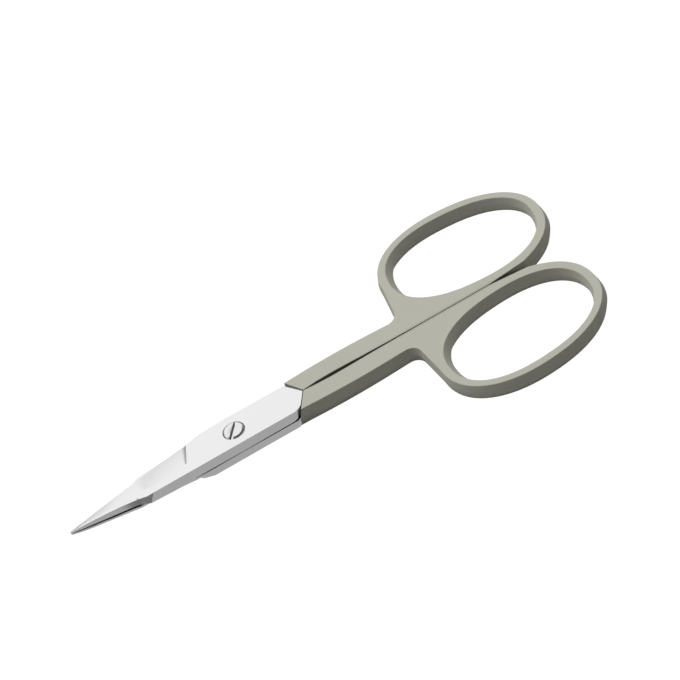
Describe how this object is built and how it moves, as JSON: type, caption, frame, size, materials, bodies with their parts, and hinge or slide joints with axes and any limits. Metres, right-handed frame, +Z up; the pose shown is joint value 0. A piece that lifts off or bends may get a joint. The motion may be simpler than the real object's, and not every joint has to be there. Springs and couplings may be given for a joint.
{
  "type": "cosmetic scissors",
  "caption": "Small pointed cosmetic scissors with steel blades, coated shanks and oval finger rings, turning on a slotted pivot screw.",
  "frame": {"origin": "centre of the bounding box in X and Y, on the plane that the closed scissors lie on", "axes": "X runs along the scissors, with the tips towards -X and the finger rings towards +X; Y runs across the blades, with the upper half's finger ring towards +Y; Z is up, along the pivot screw, with its slotted head on top"},
  "size_m": [0.097, 0.043, 0.0036],
  "materials": {
    "blade_steel": "finely ground and satin polished stainless steel",
    "screw_steel": "turned and polished stainless steel",
    "handle_coating": "matte sage grey coating baked onto the shanks and finger rings"
  },
  "bodies": {
    "lower_body": {"lower_half": "blade_steel", "pivot_screw": "screw_steel"},
    "upper_body": {"upper_half": "blade_steel"}
  },
  "joints": [
    {"name": "pivot", "type": "hinge", "parent": "lower_body", "child": "upper_body", "pos_m": [-0.0167, 0, 0.0018], "axis": [0, 0, 1], "range_deg": [0, 140]}
  ]
}
